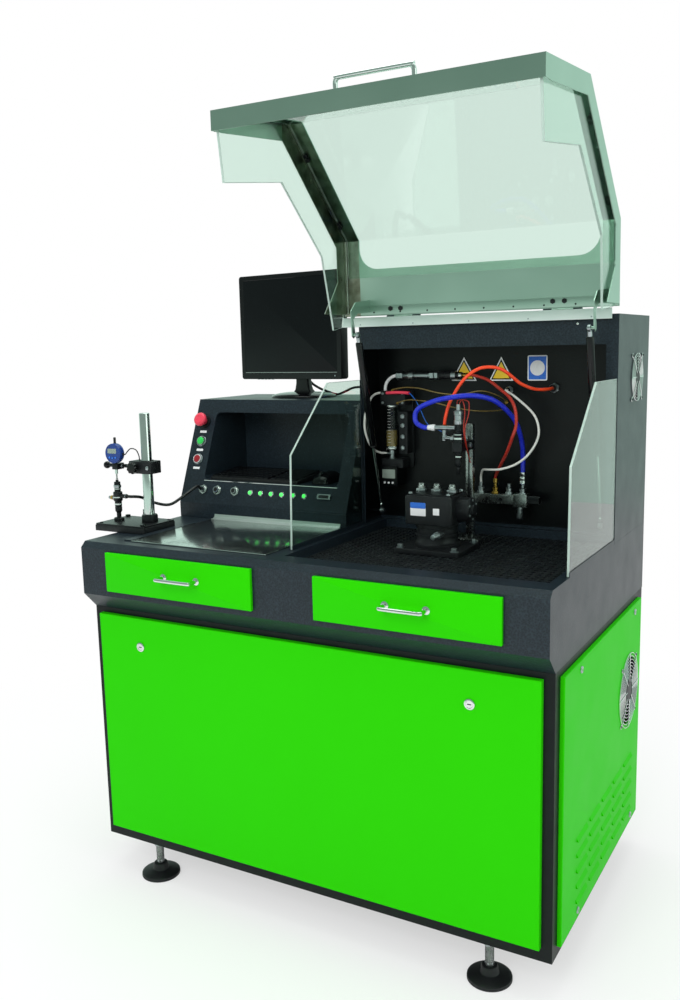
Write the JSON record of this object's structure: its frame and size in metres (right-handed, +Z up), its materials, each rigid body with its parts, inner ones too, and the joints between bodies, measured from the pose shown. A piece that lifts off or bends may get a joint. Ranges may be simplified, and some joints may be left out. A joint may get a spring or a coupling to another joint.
{
  "type": "injector test bench",
  "caption": "Free-standing steel bench for testing fuel injectors: tip-up clear hood over a sink with pump and hoses, sloping console with monitor, drawers, gauge stand, louvred cabinet.",
  "frame": {"origin": "middle of the footprint, on the floor under the feet", "axes": "+X to the right along the front, +Y to the back, +Z up"},
  "size_m": [1.3345, 0.8839, 1.8963],
  "materials": {
    "base_frame": "satin powder coat",
    "front_panel": "gloss powder coat",
    "side_panel_right": "gloss powder coat",
    "side_panel_left": "gloss powder coat",
    "back_panel": "gloss powder coat",
    "drawer_left": "gloss powder coat",
    "drawer_right": "gloss powder coat",
    "counter_body": "hammertone",
    "rear_housing": "hammertone",
    "console_housing": "hammertone",
    "lock_left": "polished",
    "lock_right": "polished",
    "hood_handle": "polished",
    "foot_front_left": "moulded",
    "foot_front_right": "moulded",
    "foot_back_left": "moulded",
    "foot_back_right": "moulded",
    "fan_guard_lower": "bright wire",
    "fan_guard_upper": "bright wire",
    "fan_rotor_lower": "moulded",
    "fan_rotor_upper": "moulded",
    "keyboard": "moulded",
    "mouse": "moulded",
    "lamp_board": "moulded",
    "worktop_plate": "brushed",
    "hood_frame": "brushed",
    "drain_mat": "matt",
    "drive_motor": "painted",
    "oil_tank": "moulded",
    "drive_coupling": "machined",
    "gauge_stand": "machined",
    "indicator_spindle": "machined",
    "bench_injector": "machined",
    "injector_stand": "machined",
    "fuel_manifold": "machined",
    "sensor_line": "machined",
    "pump": "anodised",
    "gauge_clamp": "anodised",
    "measuring_cylinder": "moulded",
    "monitor": "gloss",
    "monitor_stand": "gloss",
    "emergency_stop": "gloss",
    "stop_button": "gloss",
    "start_button": "gloss",
    "dial_indicator": "gloss",
    "hood_window": "clear",
    "hood_skirt_left": "clear",
    "hood_skirt_right": "clear",
    "guard_left": "clear",
    "guard_right": "clear",
    "strut_left_rod": "polished",
    "strut_right_rod": "polished",
    "strut_left_tube": "gloss",
    "strut_right_tube": "gloss",
    "orange_hose": "smooth",
    "red_hose": "smooth",
    "blue_hose": "smooth",
    "white_hose_right": "smooth",
    "white_hose_left": "smooth",
    "console_lead": "smooth"
  },
  "bodies": {
    "bench": {"base_frame": "base_frame", "side_panel_right": "side_panel_right", "side_panel_left": "side_panel_left", "back_panel": "back_panel", "counter_body": "counter_body", "rear_housing": "rear_housing", "console_housing": "console_housing", "fan_guard_lower": "fan_guard_lower", "fan_guard_upper": "fan_guard_upper", "keyboard": "keyboard", "mouse": "mouse", "lamp_board": "lamp_board", "worktop_plate": "worktop_plate", "drain_mat": "drain_mat", "drive_motor": "drive_motor", "oil_tank": "oil_tank", "gauge_stand": "gauge_stand", "bench_injector": "bench_injector", "injector_stand": "injector_stand", "fuel_manifold": "fuel_manifold", "sensor_line": "sensor_line", "pump": "pump", "measuring_cylinder": "measuring_cylinder", "monitor_stand": "monitor_stand", "guard_left": "guard_left", "guard_right": "guard_right", "orange_hose": "orange_hose", "red_hose": "red_hose", "blue_hose": "blue_hose", "white_hose_right": "white_hose_right", "white_hose_left": "white_hose_left", "console_lead": "console_lead"},
    "hood": {"hood_frame": "hood_frame", "hood_window": "hood_window", "hood_skirt_left": "hood_skirt_left", "hood_skirt_right": "hood_skirt_right", "hood_handle": "hood_handle"},
    "strut_left_lower": {"strut_left_rod": "strut_left_rod"},
    "strut_left_upper": {"strut_left_tube": "strut_left_tube"},
    "strut_right_lower": {"strut_right_rod": "strut_right_rod"},
    "strut_right_upper": {"strut_right_tube": "strut_right_tube"},
    "drawer_left": {"drawer_left": "drawer_left"},
    "drawer_right": {"drawer_right": "drawer_right"},
    "front_panel": {"front_panel": "front_panel"},
    "lock_left": {"lock_left": "lock_left"},
    "lock_right": {"lock_right": "lock_right"},
    "foot_front_left": {"foot_front_left": "foot_front_left"},
    "foot_front_right": {"foot_front_right": "foot_front_right"},
    "foot_back_left": {"foot_back_left": "foot_back_left"},
    "foot_back_right": {"foot_back_right": "foot_back_right"},
    "fan_rotor_lower": {"fan_rotor_lower": "fan_rotor_lower"},
    "fan_rotor_upper": {"fan_rotor_upper": "fan_rotor_upper"},
    "emergency_stop": {"emergency_stop": "emergency_stop"},
    "start_button": {"start_button": "start_button"},
    "stop_button": {"stop_button": "stop_button"},
    "monitor": {"monitor": "monitor"},
    "gauge_arm": {"gauge_clamp": "gauge_clamp", "dial_indicator": "dial_indicator"},
    "indicator_spindle": {"indicator_spindle": "indicator_spindle"},
    "drive_coupling": {"drive_coupling": "drive_coupling"}
  },
  "joints": [
    {"name": "hood_hinge", "type": "hinge", "parent": "bench", "child": "hood", "pos_m": [0.3167, 0.1144, 1.447], "axis": [1, 0, 0], "range_deg": [0, 88]},
    {"name": "strut_left_swing", "type": "hinge", "parent": "hood", "child": "strut_left_upper", "pos_m": [0.0247, 0.0314, 1.403], "axis": [1, 0, 0], "range_deg": [-103.58, 1]},
    {"name": "strut_left_stroke", "type": "slide", "parent": "strut_left_upper", "child": "strut_left_lower", "axis": [0, -0.244, 0.9698], "range_m": [-0.001, 0.05592]},
    {"name": "strut_right_swing", "type": "hinge", "parent": "hood", "child": "strut_right_upper", "pos_m": [0.6087, 0.0314, 1.403], "axis": [1, 0, 0], "range_deg": [-103.58, 1]},
    {"name": "strut_right_stroke", "type": "slide", "parent": "strut_right_upper", "child": "strut_right_lower", "axis": [0, -0.244, 0.9698], "range_m": [-0.001, 0.05592]},
    {"name": "drawer_left_slide", "type": "slide", "parent": "bench", "child": "drawer_left", "axis": [0, -1, 0], "range_m": [0, 0.3]},
    {"name": "drawer_right_slide", "type": "slide", "parent": "bench", "child": "drawer_right", "axis": [0, -1, 0], "range_m": [0, 0.19]},
    {"name": "front_panel_tilt", "type": "hinge", "parent": "bench", "child": "front_panel", "pos_m": [0.0427, -0.3339, 0.126], "axis": [1, 0, 0], "range_deg": [0, 20]},
    {"name": "lock_left_turn", "type": "hinge", "parent": "front_panel", "child": "lock_left", "pos_m": [-0.4093, -0.3489, 0.639], "axis": [0, -1, 0], "range_deg": [0, 90]},
    {"name": "lock_right_turn", "type": "hinge", "parent": "front_panel", "child": "lock_right", "pos_m": [0.4767, -0.3489, 0.639], "axis": [0, 1, 0], "range_deg": [0, 90]},
    {"name": "foot_front_left_turn", "type": "hinge", "parent": "bench", "child": "foot_front_left", "pos_m": [-0.4203, -0.3076, 0.05], "axis": [0, 0, 1], "continuous": true},
    {"name": "foot_front_right_turn", "type": "hinge", "parent": "bench", "child": "foot_front_right", "pos_m": [0.5057, -0.3076, 0.05], "axis": [0, 0, 1], "continuous": true},
    {"name": "foot_back_left_turn", "type": "hinge", "parent": "bench", "child": "foot_back_left", "pos_m": [-0.4203, 0.4004, 0.05], "axis": [0, 0, 1], "continuous": true},
    {"name": "foot_back_right_turn", "type": "hinge", "parent": "bench", "child": "foot_back_right", "pos_m": [0.5057, 0.4004, 0.05], "axis": [0, 0, 1], "continuous": true},
    {"name": "lower_fan_spin", "type": "hinge", "parent": "bench", "child": "fan_rotor_lower", "pos_m": [0.6427, 0.2544, 0.499], "axis": [1, 0, 0], "continuous": true},
    {"name": "upper_fan_spin", "type": "hinge", "parent": "bench", "child": "fan_rotor_upper", "pos_m": [0.6427, 0.3064, 1.285], "axis": [1, 0, 0], "continuous": true},
    {"name": "drive_spin", "type": "hinge", "parent": "bench", "child": "drive_coupling", "pos_m": [0.2577, -0.0136, 0.868], "axis": [0, 0, 1], "continuous": true},
    {"name": "emergency_stop_press", "type": "slide", "parent": "bench", "child": "emergency_stop", "axis": [0, 0.9283, -0.3719], "range_m": [0, 0.004], "stiffness_N_per_m": 900},
    {"name": "start_press", "type": "slide", "parent": "bench", "child": "start_button", "axis": [0, 0.9283, -0.3719], "range_m": [0, 0.003], "stiffness_N_per_m": 600},
    {"name": "stop_press", "type": "slide", "parent": "bench", "child": "stop_button", "axis": [0, 0.9283, -0.3719], "range_m": [0, 0.003], "stiffness_N_per_m": 600},
    {"name": "monitor_tilt", "type": "hinge", "parent": "bench", "child": "monitor", "pos_m": [-0.30193, 0.29438, 1.44], "axis": [-0.9925, 0.1219, 0], "range_deg": [-3, 15]},
    {"name": "gauge_arm_height", "type": "slide", "parent": "bench", "child": "gauge_arm", "axis": [0, 0, 1], "range_m": [0, 0.12]},
    {"name": "spindle_travel", "type": "slide", "parent": "gauge_arm", "child": "indicator_spindle", "axis": [0, 0, 1], "range_m": [0, 0.01]}
  ],
  "couplings": [
    {"joint": "strut_left_swing", "follows": "hood_hinge", "ratio": -1.1713},
    {"joint": "strut_left_stroke", "follows": "hood_hinge", "m_per_rad": 0.035757},
    {"joint": "strut_right_swing", "follows": "hood_hinge", "ratio": -1.1713},
    {"joint": "strut_right_stroke", "follows": "hood_hinge", "m_per_rad": 0.035757}
  ]
}
